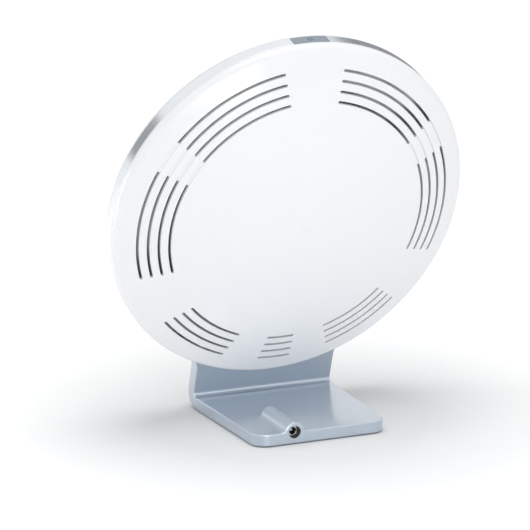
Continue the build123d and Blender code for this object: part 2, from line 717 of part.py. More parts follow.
# ---------------------------------------------------------------- stand
def flare(side):
    """Widening at the top of the upright's side, under the band."""
    low = (FOOT_HALF, upright_top - FLARE_HEIGHT)
    top = upright_top
    edge = TangentArc(low, (FOOT_HALF + FLARE, top), tangent=(0, 1))
    inner = FOOT_HALF - FLARE
    rest = Polyline(edge @ 1, (inner, top), (inner, low[1]), low)
    ear = extrude(make_face([edge, rest]), UPRIGHT_THICK)
    return HEAD * (ear if side > 0 else mirror(ear, Plane.YZ))


def hump():
    """Half-round ridge over the socket, blended into the foot."""
    section = Pos(JACK_X, JACK_Z) * Circle(HUMP_RADIUS)
    bed_half = HUMP_RADIUS + 2 * HUMP_FILLET
    bed_low = FOOT_TOP - HUMP_FILLET
    bed = Pos(JACK_X, (bed_low + FOOT_TOP) / 2) * Rectangle(2 * bed_half, FOOT_TOP - bed_low)
    section = section + bed
    creases = [
        vertex for vertex in section.vertices()
        if abs(vertex.Y - FOOT_TOP) < 0.01 and abs(abs(vertex.X - JACK_X) - HUMP_RADIUS) < 0.5
    ]
    section = fillet(creases, HUMP_FILLET)
    section = section & Pos(JACK_X, JACK_Z) * Rectangle(2 * bed_half, 2 * HUMP_RADIUS)
    keep_low = bed_low - HUMP_RADIUS
    section = section - Pos(JACK_X, (bed_low + keep_low) / 2) * Rectangle(2 * bed_half, bed_low - keep_low)
    return extrude(Plane(origin=(0, rear_y, 0), x_dir=(1, 0, 0), z_dir=(0, -1, 0)) * section, rear_y - hump_front)


def stand_solid():
    """Outside of the stand, with its visible edges softened."""
    body = bent_plate(0, UPRIGHT_THICK, FOOT_TOP, FOOT_GAP, rear_y, STAND_FILLET, STAND_BEND, FOOT_HALF)
    body = body & stand_plan(0)
    above = block((-HEAD_RADIUS, HEAD_RADIUS), (upright_top, HEAD_RADIUS), (-STAND_EDGE, 2 * UPRIGHT_THICK))
    body = body - HEAD * above
    body = body + flare(1) + flare(-1) + hump()
    return fillet([edge for edge in body.edges() if is_soft(edge)], STAND_EDGE)


def is_soft(edge):
    """Whether an edge of the stand runs round its upper and rear faces."""
    spot = edge @ 0.5
    on_rear_face = abs(spot.Y - rear_y) < 0.01
    on_side = abs(spot.X) > foot_half_rear - FOOT_CORNER and spot.Y > slope_y(1, spot.Z)
    on_top = abs(HEAD.to_local_coords(spot).Y - upright_top) < 0.01
    return spot.Z > FOOT_TOP - 0.01 and (on_rear_face or on_side) and not on_top


def stand_hollow():
    """Room inside the stand, open to the front and underside."""
    far = STAND_BEND
    rear = rear_y - STAND_WALL
    room = bent_plate(STAND_WALL, UPRIGHT_THICK + far, roof_z, FOOT_GAP - far, rear, CAVITY_ROUND, 0, FOOT_HALF)
    room = room & (Pos(0, 0, -far) * stand_plan(STAND_WALL))
    room = room - HEAD * disc(saddle_under, -far, UPRIGHT_THICK + far)
    socket_sides = (JACK_X - HUMP_RADIUS, JACK_X + HUMP_RADIUS)
    room = room - block(socket_sides, (block_front, rear_y), (panel_top + PANEL_PLAY, FOOT_TOP))
    for x, y in panel_screw_spots:
        room = room - disc(STAND_BOSS_RADIUS, panel_top, FOOT_TOP, (x, y))
    for x, y in ballast_screw_spots:
        room = room - disc(STAND_BOSS_RADIUS, ballast_top, FOOT_TOP, (x, y))
    wire_room = rod(HUMP_RADIUS - HUMP_WALL, hump_front + HUMP_WALL, block_front)
    return room + wire_room


def stand_shell():
    """Upright and foot in one shell, with the socket's block and the screw bosses."""
    shell = stand_solid() - stand_hollow()
    shell = shell - HEAD * disc(saddle_radius, -UPRIGHT_THICK, 2 * UPRIGHT_THICK)
    shell = shell - HEAD * bracket_lane()
    shell = shell - rod(JACK_RADIUS + JACK_PLAY, block_front - 1, rear_y + 1)
    for x, y in panel_screw_spots:
        shell = shell - disc(SCREW_RADIUS, panel_top, FOOT_GAP + PANEL_SCREW_LENGTH, (x, y))
    for x, y in ballast_screw_spots:
        shell = shell - disc(SCREW_RADIUS, ballast_top, ballast_floor + BALLAST_SCREW_LENGTH, (x, y))
    return shell


def from_below(screw, spots, height):
    """Copies of a screw driven upwards from a height."""
    return [Pos(x, y, height) * Rot(X=180) * screw for x, y in spots]


def stand_cover():
    """Panel that closes the front of the upright and the underside of the foot."""
    inset = STAND_WALL + PANEL_PLAY
    panel = bent_plate(
        UPRIGHT_THICK - PANEL_THICK, UPRIGHT_THICK, panel_top, FOOT_GAP, rear_y - inset,
        STAND_BEND - PANEL_THICK, STAND_BEND, FOOT_HALF - inset)
    panel = panel & stand_plan(inset)
    panel = panel - HEAD * disc(saddle_under + PANEL_PLAY, -UPRIGHT_THICK, 2 * UPRIGHT_THICK)
    hole = flat_screw(SCREW_RADIUS, SCREW_HEAD_RADIUS, PANEL_THICK, FLAT_SLACK)
    for piece in from_below(hole, panel_screw_spots, FOOT_GAP):
        panel = panel - piece
    for spot in pad_spots:
        panel = panel - disc(PAD_RADIUS + PAD_SLACK, 0, PAD_THICK, spot)
    return panel


def stand_cover_screws():
    """Countersunk screws from the underside into the shell's bosses."""
    screw = flat_screw(SCREW_RADIUS, SCREW_HEAD_RADIUS, PANEL_SCREW_LENGTH)
    return from_below(screw, panel_screw_spots, FOOT_GAP)


def rubber_feet():
    """Round pads let into the underside."""
    pads = []
    for spot in pad_spots:
        pad = disc(PAD_RADIUS, 0, PAD_THICK, spot)
        pads.append(chamfer(pad.edges().group_by(Axis.Z)[0], PAD_SLACK * 2))
    return pads


def ballast_plate():
    """Steel plate in the foot that keeps the lamp upright."""
    heights = (ballast_floor, ballast_top)
    plate = block((-ballast_half, ballast_half), (ballast_front, ballast_rear), heights)
    notch = HUMP_RADIUS + BALLAST_PLAY
    plate = plate - block((JACK_X - notch, JACK_X + notch), (block_front - BALLAST_PLAY, rear_y), heights)
    for radius, spots in ((SCREW_RADIUS, ballast_screw_spots), (NECK_SCREW_RADIUS, bracket_screw_spots)):
        hole = flat_screw(radius, radius + SCREW_HEAD_RADIUS / 2, BALLAST_THICK, FLAT_SLACK)
        for piece in from_below(hole, spots, ballast_floor):
            plate = plate - piece
    return plate


def ballast_screws():
    """Countersunk screws that hold the steel plate in the shell."""
    screw = flat_screw(SCREW_RADIUS, SCREW_RADIUS + SCREW_HEAD_RADIUS / 2, BALLAST_SCREW_LENGTH)
    return from_below(screw, ballast_screw_spots, ballast_floor)


def bracket_screws():
    """Countersunk screws that tie the steel plate to the bracket's foot."""
    length = BALLAST_THICK + BRACKET_THICK
    screw = flat_screw(NECK_SCREW_RADIUS, NECK_SCREW_RADIUS + SCREW_HEAD_RADIUS / 2, length)
    return from_below(screw, bracket_screw_spots, ballast_floor)


# ---------------------------------------------------------------- neck
def neck_spots():
    """Screws that hold the head to the bracket, in the head frame."""
    return [(side * NECK_SCREW_X, bracket_top_y - drop) for side in (-1, 1) for drop in NECK_SCREW_DROPS]


def neck_bracket():
    """Bent steel bracket from the foot up into the head."""
    bracket = bent_plate(
        bracket_back, flange_front, ballast_top + BRACKET_THICK, ballast_top, bracket_rear,
        BRACKET_BEND, BRACKET_BEND + BRACKET_THICK, BRACKET_HALF)
    above = block((-HEAD_RADIUS, HEAD_RADIUS), (bracket_top_y, HEAD_RADIUS), (-HEAD_RADIUS, HEAD_RADIUS))
    bracket = bracket - HEAD * above
    for spot in neck_spots():
        bracket = bracket - HEAD * disc(NECK_SCREW_RADIUS + FLAT_SLACK, bracket_back, flange_front, spot)
    for spot in bracket_screw_spots:
        bracket = bracket - disc(NECK_SCREW_RADIUS, ballast_top, ballast_top + BRACKET_THICK, spot)
    return bracket


def neck_screws():
    """Screws through the bracket into the back plate."""
    screw = pan_screw(NECK_SCREW_RADIUS, NECK_HEAD_RADIUS, NECK_HEAD_HEIGHT, BRACKET_THICK + PLATE_THICK)
    return [Pos(x, y, bracket_back) * Rot(X=180) * screw for x, y in neck_spots()]


# ---------------------------------------------------------------- socket
def jack_housing():
    """Black socket body with the plug's hole."""
    body = rod(JACK_RADIUS, jack_start, jack_end)
    body = body - rod(RING_RADIUS, rear_y - RING_SINK - RING_LENGTH, rear_y)
    body = body - rod(RING_BORE, rear_y - JACK_CHAMBER, rear_y)
    body = body - rod(PIN_RADIUS, rear_y - JACK_CHAMBER - PIN_ROOT, rear_y)
    for tab in jack_terminals():
        body = body - tab
    return body


def jack_ring():
    """Bright ring round the plug's hole."""
    end = rear_y - RING_SINK
    sleeve = rod(RING_RADIUS, end - RING_LENGTH, end) - rod(RING_BORE, end - RING_LENGTH, end)
    mouth = sleeve.edges().group_by(Axis.Y)[-1].filter_by(GeomType.CIRCLE)
    return chamfer(mouth, RING_EDGE)


def jack_pin():
    """Centre pin of the socket."""
    pin = rod(PIN_RADIUS, rear_y - JACK_CHAMBER - PIN_ROOT, rear_y - PIN_SINK)
    return chamfer(pin.edges().group_by(Axis.Y)[-1], PIN_RADIUS / 3)


def jack_terminals():
    """Solder tabs at the inner end of the socket."""
    tabs = []
    for side in (-1, 1):
        x = JACK_X + side * TAB_SPREAD
        ends = (x - TAB_THICK / 2, x + TAB_THICK / 2)
        reach = (jack_start - TAB_LENGTH, jack_start + TAB_ROOT)
        tabs.append(block(ends, reach, (JACK_Z - TAB_WIDTH / 2, JACK_Z + TAB_WIDTH / 2)))
    return tabs


# ---------------------------------------------------------------- inner wires
def diode_wire_x():
    """Where the diodes' wires pass the flange, beside the left post."""
    return -(post_outside + THIN_SPREAD + THIN_WIRE + THIN_GAP)


def diode_wire_y():
    """Their distance up the head: just outside the light guide."""
    return guide_radius + SWITCH_BOARD_PLAY


def in_head(x, y, z):
    """Point of the head frame, in the row frame."""
    return HEAD.from_local_coords(Vector(x, y, z))


def supply_leads():
    """Two wires from the socket through the foot and upright to the driver."""
    low = (ballast_top + roof_z) / 2
    lane_depth = (STAND_WALL + flange_front) / 2 + FLAT_SLACK
    port_shift = supply_port[0] - JACK_X
    wires = []
    tab_end = jack_start - TAB_LENGTH
    for side in (-1, 1):
        x = JACK_X + side * TAB_SPREAD
        points = [
            Vector(x, tab_end, JACK_Z),
            Vector(x, tab_end - WIRE_BEND / 2, JACK_Z),
            Vector(x, hump_front + WIRE_BEND, low),
            Vector(x, slope_y(lane_depth, low), low),
            in_head(x, 1.5 * WIRE_BEND - flange_inside, lane_depth),
            in_head(x, bracket_top_y, driver_front),
            in_head(x + port_shift, driver_foot - 3 * WIRE_BEND, port_depth),
            in_head(x + port_shift, supply_port[1] - CONNECTOR[1] / 2, port_depth),
        ]
        wires.append(wire(points, WIRE, WIRE_BEND))
    return wires


def switch_leads():
    """Two thin wires from the switch board down to the driver."""
    y = (board_floor + switch_floor) / 2
    board_low = switch_z - SWITCH_BOARD_WIDTH / 2
    wires = []
    for side in (-1, 1):
        x = switch_port[0] + side * THIN_SPREAD
        points = [
            in_head(x, y, board_low),
            in_head(x, y, driver_back),
            in_head(x, flange_inside - 4 * THIN_WIRE, port_depth),
            in_head(x, switch_port[1] + CONNECTOR[1] / 2, port_depth),
        ]
        wires.append(wire(points, THIN_WIRE, THIN_BEND))
    return wires


def diode_leads():
    """Two thin wires from the end of the strip down to the driver."""
    strip_end = -top_notch_half + SEAM / 2
    y = diode_wire_y()
    middle = plate_front + STRIP_LIFT + STRIP_HEIGHT / 2
    wires = []
    for side in (-1, 1):
        x = diode_wire_x() + side * THIN_SPREAD
        height = middle + side * THIN_SPREAD
        points = [
            in_head(strip_end, y, height),
            in_head(x, y, height),
            in_head(x, y, driver_back),
            in_head(x, flange_inside - 4 * THIN_WIRE, port_depth),
            in_head(x - diode_wire_x() + diode_port[0], diode_port[1] + CONNECTOR[1] / 2, port_depth),
        ]
        radii = (THIN_WIRE / 2 + FLAT_SLACK, THIN_BEND, THIN_BEND)
        wires.append(wire(points, THIN_WIRE, radii))
    return wires


# ---------------------------------------------------------------- writing the nodes
HEAD_SINGLES = (
    rear_cover, ring_housing, front_diffuser, diffuser_film, light_guide_plate, reflector_sheet, back_plate,
    led_strip, button_cap, switch_plunger, switch_body, switch_board, driver_board, driver_inductor,
)
HEAD_GROUPS = (
    led_chips, cover_screws, plate_screws, board_standoffs, board_screws, driver_capacitors, driver_chips,
    driver_connectors, neck_screws,
)
STAND_SINGLES = (stand_shell, stand_cover, ballast_plate, neck_bracket, jack_housing, jack_ring, jack_pin)
STAND_GROUPS = (
    stand_cover_screws, rubber_feet, ballast_screws, bracket_screws, jack_terminals, supply_leads, switch_leads,
    diode_leads,
)


def write(name, shape):
    """One file for one node."""
    export_step(shape, os.path.join("parts", name + ".step"))


os.makedirs("parts", exist_ok=True)
for make in HEAD_SINGLES:
    write(make.__name__, HEAD * make())
for make in HEAD_GROUPS:
    write(make.__name__, group([HEAD * piece for piece in make()]))
for make in STAND_SINGLES:
    write(make.__name__, make())
for make in STAND_GROUPS:
    write(make.__name__, group(make()))
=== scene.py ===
import math

import bmesh
import bpy
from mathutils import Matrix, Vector


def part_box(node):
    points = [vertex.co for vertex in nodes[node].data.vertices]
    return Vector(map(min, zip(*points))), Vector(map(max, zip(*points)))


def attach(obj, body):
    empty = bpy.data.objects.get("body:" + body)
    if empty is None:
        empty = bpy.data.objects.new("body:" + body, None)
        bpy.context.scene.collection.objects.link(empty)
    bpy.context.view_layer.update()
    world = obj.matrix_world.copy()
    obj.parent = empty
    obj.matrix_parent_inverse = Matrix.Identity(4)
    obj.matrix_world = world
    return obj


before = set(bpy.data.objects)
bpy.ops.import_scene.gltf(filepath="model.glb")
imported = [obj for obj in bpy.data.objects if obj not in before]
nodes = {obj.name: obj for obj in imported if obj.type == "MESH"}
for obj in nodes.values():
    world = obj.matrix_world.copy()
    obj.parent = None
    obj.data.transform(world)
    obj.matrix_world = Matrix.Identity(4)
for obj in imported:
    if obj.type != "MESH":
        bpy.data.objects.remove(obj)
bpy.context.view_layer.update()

# ---------------------------------------------------------------- ballast plate and its screws
# A flat plate of cold-rolled steel, laser cut and countersunk, gives the foot its weight.
# Zinc-plated countersunk screws hold it up against the bosses of the stand's shell.


def add_node(tree, kind, values=(), **settings):
    """One node, with its settings and the values of its inputs."""
    node = tree.nodes.new(kind)
    for name, value in settings.items():
        setattr(node, name, value)
    for name, value in dict(values).items():
        node.inputs[name].default_value = value
    return node


def new_effect(name, inputs, outputs):
    """An effect that several finishes share: a node group with its sockets and its two end nodes."""
    tree = bpy.data.node_groups.new(name, "ShaderNodeTree")
    for way, sockets in (("INPUT", inputs), ("OUTPUT", outputs)):
        for socket_name, kind in sockets.items():
            tree.interface.new_socket(socket_name, in_out=way, socket_type="NodeSocket" + kind)
    return tree, add_node(tree, "NodeGroupInput"), add_node(tree, "NodeGroupOutput")


def make_surface_effect():
    """Fine grain, slow drift of tone and faint smears, as on any moulded, painted or rolled face."""
    tree, given, made = new_effect(
        "surface_grain",
        {"Colour": "Color", "Tone": "Float", "Roughness": "Float", "Spread": "Float", "Grain": "Float",
         "Stretch": "Vector"},
        {"Colour": "Color", "Roughness": "Float", "Height": "Float"})
    join = tree.links.new
    place = add_node(tree, "ShaderNodeTexCoord")
    stretch = add_node(tree, "ShaderNodeVectorMath", operation="MULTIPLY")
    join(place.outputs["Object"], stretch.inputs[0])
    join(given.outputs["Stretch"], stretch.inputs[1])
    grain = add_node(tree, "ShaderNodeTexNoise", {"Detail": 3.0, "Roughness": 0.6})
    join(stretch.outputs[0], grain.inputs["Vector"])
    join(given.outputs["Grain"], grain.inputs["Scale"])
    drift = add_node(tree, "ShaderNodeTexNoise", {"Scale": 14.0, "Detail": 2.0, "Roughness": 0.5})
    join(place.outputs["Object"], drift.inputs["Vector"])
    smear = add_node(tree, "ShaderNodeTexNoise", {"Scale": 46.0, "Detail": 4.0, "Distortion": 1.2})
    join(place.outputs["Object"], smear.inputs["Vector"])
    centred = add_node(tree, "ShaderNodeMath", {1: 0.5}, operation="SUBTRACT")
    join(drift.outputs["Fac"], centred.inputs[0])
    shift = add_node(tree, "ShaderNodeMath", {2: 1.0}, operation="MULTIPLY_ADD")
    join(centred.outputs[0], shift.inputs[0])
    join(given.outputs["Tone"], shift.inputs[1])
    toned = add_node(tree, "ShaderNodeVectorMath", operation="SCALE")
    join(given.outputs["Colour"], toned.inputs[0])
    join(shift.outputs[0], toned.inputs["Scale"])
    join(toned.outputs[0], made.inputs["Colour"])
    uneven = add_node(tree, "ShaderNodeMath", {1: 0.5}, operation="SUBTRACT")
    join(smear.outputs["Fac"], uneven.inputs[0])
    rough = add_node(tree, "ShaderNodeMath", operation="MULTIPLY_ADD")
    join(uneven.outputs[0], rough.inputs[0])
    join(given.outputs["Spread"], rough.inputs[1])
    join(given.outputs["Roughness"], rough.inputs[2])
    join(rough.outputs[0], made.inputs["Roughness"])
    join(grain.outputs["Fac"], made.inputs["Height"])
    return tree


def make_edge_effect():
    """Edges turned a little, with a mask of where they are, so that they catch the light and show wear."""
    tree, given, made = new_effect("soft_edge", {"Radius": "Float"}, {"Normal": "Vector", "Edge": "Float"})
    join = tree.links.new
    turned = add_node(tree, "ShaderNodeBevel", samples=6)
    join(given.outputs["Radius"], turned.inputs["Radius"])
    facing = add_node(tree, "ShaderNodeNewGeometry")
    agree = add_node(tree, "ShaderNodeVectorMath", operation="DOT_PRODUCT")
    join(turned.outputs[0], agree.inputs[0])
    join(facing.outputs["Normal"], agree.inputs[1])
    mask = add_node(
        tree, "ShaderNodeMapRange", {"From Min": 0.998, "From Max": 0.86, "To Min": 0.0, "To Max": 1.0})
    join(agree.outputs["Value"], mask.inputs["Value"])
    join(turned.outputs[0], made.inputs["Normal"])
    join(mask.outputs[0], made.inputs["Edge"])
    return tree


def make_painted_shade_effect():
    """A mask of the joints and corners that little light reaches, where painted shade is laid."""
    tree, given, made = new_effect("painted_joint_shade", {"Reach": "Float"}, {"Shade Mask": "Float"})
    hollow = add_node(tree, "ShaderNodeAmbientOcclusion", samples=6)
    tree.links.new(given.outputs["Reach"], hollow.inputs["Distance"])
    mask = add_node(
        tree, "ShaderNodeMapRange", {"From Min": 0.72, "From Max": 0.30, "To Min": 0.0, "To Max": 1.0})
    tree.links.new(hollow.outputs["AO"], mask.inputs["Value"])
    tree.links.new(mask.outputs[0], made.inputs["Shade Mask"])
    return tree


surface_grain = make_surface_effect()
soft_edge = make_edge_effect()
painted_joint_shade = make_painted_shade_effect()


def make_finish(name, colour, roughness, tone=0.04, spread=0.06, grain=900.0, stretch=(1, 1, 1), bump=0.00002,
                edge=0.0002, worn=None, painted_shade=None, **shader):
    """A finish: one shader with the shared grain and turned edges. Worn is the colour of rubbed edges,
    and the colour after it is painted shade, laid into its joints and corners where little light gets in."""
    material = bpy.data.materials.new(name)
    material.use_nodes = True
    tree = material.node_tree
    tree.nodes.clear()
    join = tree.links.new
    out = add_node(tree, "ShaderNodeOutputMaterial")
    principled = add_node(tree, "ShaderNodeBsdfPrincipled", shader)
    join(principled.outputs[0], out.inputs["Surface"])
    skin = add_node(tree, "ShaderNodeGroup", node_tree=surface_grain)
    skin.inputs["Colour"].default_value = (*colour, 1.0)
    skin.inputs["Tone"].default_value = tone
    skin.inputs["Roughness"].default_value = roughness
    skin.inputs["Spread"].default_value = spread
    skin.inputs["Grain"].default_value = grain
    skin.inputs["Stretch"].default_value = stretch
    edges = add_node(tree, "ShaderNodeGroup", {"Radius": edge}, node_tree=soft_edge)
    relief = add_node(tree, "ShaderNodeBump", {"Strength": 1.0, "Distance": bump})
    join(skin.outputs["Height"], relief.inputs["Height"])
    join(edges.outputs["Normal"], relief.inputs["Normal"])
    join(relief.outputs[0], principled.inputs["Normal"])
    join(skin.outputs["Roughness"], principled.inputs["Roughness"])
    shade = skin.outputs["Colour"]
    # Painted shade: an occlusion mask darkens the colour in joints and corners.
    if painted_shade:
        joints = add_node(tree, "ShaderNodeGroup", {"Reach": 0.0012}, node_tree=painted_joint_shade)
        shade = add_shade(tree, shade, painted_shade, joints.outputs["Shade Mask"])
    if worn:
        shade = add_shade(tree, shade, worn, edges.outputs["Edge"])
    join(shade, principled.inputs["Base Color"])
    return material


def add_shade(tree, under, colour, mask):
    """A second colour over the first one where a mask is white."""
    over = add_node(tree, "ShaderNodeMix", data_type="RGBA")
    tree.links.new(mask, over.inputs[0])
    tree.links.new(under, over.inputs[6])
    over.inputs[7].default_value = (*colour, 1.0)
    return over.outputs[2]


def dress(material, *names):
    """Gives pieces of the construction their finish."""
    for name in names:
        nodes[name].material_slots[0].material = material


rolled_steel = make_finish(
    "rolled_steel", (0.36, 0.37, 0.38), 0.42, tone=0.16, spread=0.22, grain=260.0, stretch=(1, 9, 1),
    bump=0.00004, edge=0.0003, worn=(0.62, 0.63, 0.64), Metallic=1.0)
zinc_steel = make_finish(
    "zinc_steel", (0.60, 0.61, 0.62), 0.28, tone=0.10, spread=0.16, grain=1400.0, bump=0.00002, edge=0.0001,
    worn=(0.78, 0.78, 0.79), Metallic=1.0)
dress(rolled_steel, "ballast_plate")
dress(zinc_steel, "ballast_screws", "bracket_screws")

# ---------------------------------------------------------------- neck bracket and its screws
# A bent strip of galvanised steel ties the head to the ballast plate through the upright.
# Four pan-head machine screws hold it to the head's aluminium dish.

galvanised = make_finish(
    "galvanised", (0.55, 0.57, 0.58), 0.36, tone=0.30, spread=0.24, grain=120.0, bump=0.00003, edge=0.0003,
    worn=(0.72, 0.73, 0.73), Metallic=1.0)
dress(galvanised, "neck_bracket")
dress(zinc_steel, "neck_screws")

# ---------------------------------------------------------------- stand
# The foot and upright are one injection-moulded shell, sprayed blue-grey with a satin metallic
# lacquer. A panel in the same finish closes its front and underside.

# Painted shade: an occlusion mask darkens its joints, creases and corners almost to black.
satin_paint = make_finish(
    "satin_paint", (0.475, 0.545, 0.625), 0.30, tone=0.04, spread=0.04, grain=700.0, bump=0.000001,
    edge=0.0004, painted_shade=(0.05, 0.06, 0.07), **{"Metallic": 0.75, "Coat Weight": 1.0, "Coat Roughness": 0.12})
dress(satin_paint, "stand_shell", "stand_cover")
dress(zinc_steel, "stand_cover_screws")

# ---------------------------------------------------------------- rubber feet
# Four punched discs of black rubber sit in round pockets under the foot.

rubber = make_finish(
    "rubber", (0.022, 0.022, 0.024), 0.78, tone=0.25, spread=0.14, grain=1700.0, bump=0.00008, edge=0.0003)
dress(rubber, "rubber_feet")

# ---------------------------------------------------------------- low-voltage socket
# A barrel socket of black nylon with a turned nickel ring and centre pin is pressed into the
# foot's rear edge. Tinned brass tabs at its inner end take the supply wires.

nylon_black = make_finish(
    "nylon_black", (0.018, 0.018, 0.020), 0.42, tone=0.20, spread=0.12, grain=1900.0, bump=0.00002,
    edge=0.00015)
nickel = make_finish(
    "nickel", (0.70, 0.68, 0.65), 0.18, tone=0.06, spread=0.10, grain=900.0, stretch=(1, 12, 1), bump=0.00001,
    edge=0.0001, Metallic=1.0)
brass = make_finish(
    "brass", (0.66, 0.50, 0.24), 0.26, tone=0.12, spread=0.14, grain=900.0, bump=0.00001, edge=0.00012,
    worn=(0.80, 0.66, 0.38), Metallic=1.0)
dress(nylon_black, "jack_housing")
dress(nickel, "jack_ring", "jack_pin")
dress(brass, "jack_terminals")

# ---------------------------------------------------------------- silver band
# The head's band is moulded in one piece with its inner flange and sprayed bright silver.
# The neck bracket passes through its underside.

# Painted shade: an occlusion mask darkens the band's seams and corners.
silver_paint = make_finish(
    "silver_paint", (0.80, 0.83, 0.86), 0.20, tone=0.04, spread=0.05, grain=700.0, bump=0.000001, edge=0.0002,
    painted_shade=(0.06, 0.065, 0.07), Metallic=1.0)
dress(silver_paint, "ring_housing")

# ---------------------------------------------------------------- power button and its switch
# The button fills a gap at the top of the band and carries the usual power symbol in dark print.
# Behind it a push switch sits on a small green board, which slides into two slotted posts.

# Painted shade: an occlusion mask darkens the button's edges where it sits in its gap.
button_paint = make_finish(
    "button_paint", (0.27, 0.32, 0.375), 0.36, tone=0.04, spread=0.05, grain=700.0, bump=0.000001,
    edge=0.0003, painted_shade=(0.03, 0.035, 0.04), Metallic=0.35)
dress(button_paint, "button_cap")
dress(nylon_black, "switch_plunger", "switch_body")

BUTTON_WIDTH = 0.0098
BUTTON_LEAN = math.radians(18.1)
MARK_RADIUS = 0.0022
MARK_LINE = 0.0006
MARK_RISE = 0.00005
MARK_BAR_PLACE = 0.72        # share of the ring's radius
MARK_BAR_LENGTH = 4.0        # in widths of its line
MARK_OPENING = math.radians(36.0)
bpy.ops.object.select_all(action="DESELECT")
bpy.ops.mesh.primitive_circle_add(vertices=60, radius=MARK_RADIUS - MARK_LINE, fill_type="NOTHING")
power_mark = bpy.context.object
power_mark.name = "power_mark"
bpy.ops.object.mode_set(mode="EDIT")
bpy.ops.mesh.select_all(action="SELECT")
bpy.ops.mesh.extrude_region_move()
widen = MARK_RADIUS / (MARK_RADIUS - MARK_LINE)
bpy.ops.transform.resize(value=(widen, widen, 1.0), center_override=(0.0, 0.0, 0.0))
bpy.ops.mesh.select_all(action="DESELECT")
outline = bmesh.from_edit_mesh(power_mark.data)
for corner in outline.verts:
    corner.select = abs(math.atan2(corner.co.x, corner.co.y)) < MARK_OPENING
outline.select_flush_mode()
bpy.ops.mesh.delete(type="VERT")
bar_middle = (0.0, MARK_RADIUS * MARK_BAR_PLACE, 0.0)
bpy.ops.mesh.primitive_plane_add(size=MARK_LINE, location=bar_middle)
bpy.ops.transform.resize(value=(1.0, MARK_BAR_LENGTH, 1.0), center_override=bar_middle)
bpy.ops.mesh.select_all(action="SELECT")
bpy.ops.mesh.normals_make_consistent(inside=False)
bpy.ops.object.mode_set(mode="OBJECT")
print_depth = power_mark.modifiers.new("print_depth", "SOLIDIFY")
print_depth.thickness = MARK_RISE
print_depth.offset = 0.0
bpy.ops.object.modifier_apply(modifier=print_depth.name)
cap_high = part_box("button_cap")[1]
power_mark.location = (
    0.0,
    cap_high[1] - BUTTON_WIDTH / 2 * math.cos(BUTTON_LEAN),
    cap_high[2] - BUTTON_WIDTH / 2 * math.sin(BUTTON_LEAN))
power_mark.rotation_euler = (-BUTTON_LEAN, 0.0, 0.0)
bpy.ops.object.transform_apply(location=True, rotation=True, scale=True)
dark_print = make_finish(
    "dark_print", (0.012, 0.017, 0.024), 0.45, tone=0.10, spread=0.08, grain=1500.0, bump=0.000002,
    edge=0.00003)
power_mark.data.materials.append(dark_print)
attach(power_mark, "power_button")

solder_mask = make_finish(
    "solder_mask", (0.012, 0.11, 0.045), 0.30, tone=0.22, spread=0.10, grain=500.0, bump=0.00002, edge=0.0001,
    worn=(0.30, 0.27, 0.12))
dress(solder_mask, "switch_board", "driver_board")

# ---------------------------------------------------------------- back plate
# A shallow dish of spun aluminium carries the light stack and spreads its heat.
# Countersunk screws hold it to the flange's bosses.

spun_aluminium = make_finish(
    "spun_aluminium", (0.78, 0.79, 0.80), 0.34, tone=0.06, spread=0.14, grain=420.0, bump=0.00002,
    edge=0.0002, Metallic=1.0)
dress(spun_aluminium, "back_plate")
dress(zinc_steel, "plate_screws")

# ---------------------------------------------------------------- diodes and their strip
# A flexible white board is glued round the inside of the dish. Its diodes shine inwards,
# through a yellow phosphor, into the edge of the light guide.

strip_white = make_finish(
    "strip_white", (0.82, 0.82, 0.79), 0.40, tone=0.05, spread=0.08, grain=800.0, bump=0.00002, edge=0.0001)
phosphor = make_finish(
    "phosphor", (0.86, 0.62, 0.14), 0.34, tone=0.14, spread=0.10, grain=2400.0, bump=0.00003, edge=0.0002,
    worn=(0.85, 0.84, 0.80))
dress(strip_white, "led_strip")
dress(phosphor, "led_chips")

# ---------------------------------------------------------------- reflector, light guide and film
# A white polyester sheet lies behind a clear acrylic disc, which has a fine pattern of dots that
# lets the light out. A frosted film evens it.

white_sheet = make_finish(
    "white_sheet", (0.90, 0.90, 0.89), 0.50, tone=0.02, spread=0.06, grain=700.0, bump=0.00001, edge=0.0001)
clear_acrylic = make_finish(
    "clear_acrylic", (0.96, 0.98, 0.98), 0.04, tone=0.01, spread=0.02, grain=400.0, bump=0.000002,
    edge=0.0002, **{"Transmission Weight": 1.0, "IOR": 1.49})
frosted_film = make_finish(
    "frosted_film", (0.90, 0.91, 0.91), 0.55, tone=0.02, spread=0.05, grain=3000.0, bump=0.00001, edge=0.0001,
    **{"Subsurface Weight": 0.3, "Subsurface Scale": 0.001})
dress(white_sheet, "reflector_sheet")
dress(clear_acrylic, "light_guide_plate")
dress(frosted_film, "diffuser_film")

# ---------------------------------------------------------------- front diffuser
# The front is moulded in opal acrylic with a rounded rim. Its skirt plugs into the band and its
# inner lip holds the light stack down.

# Painted shade: an occlusion mask greys the rim where it meets the band.
opal_acrylic = make_finish(
    "opal_acrylic", (0.87, 0.88, 0.88), 0.30, tone=0.015, spread=0.06, grain=1500.0, bump=0.000008,
    edge=0.0004, painted_shade=(0.20, 0.20, 0.21), **{"Subsurface Weight": 0.25, "Subsurface Scale": 0.004})
dress(opal_acrylic, "front_diffuser")

# ---------------------------------------------------------------- driver
# A board on brass posts behind the dish turns the adapter's low voltage into the diodes' current.
# It holds a drum coil, two can capacitors, three chips and three white headers.

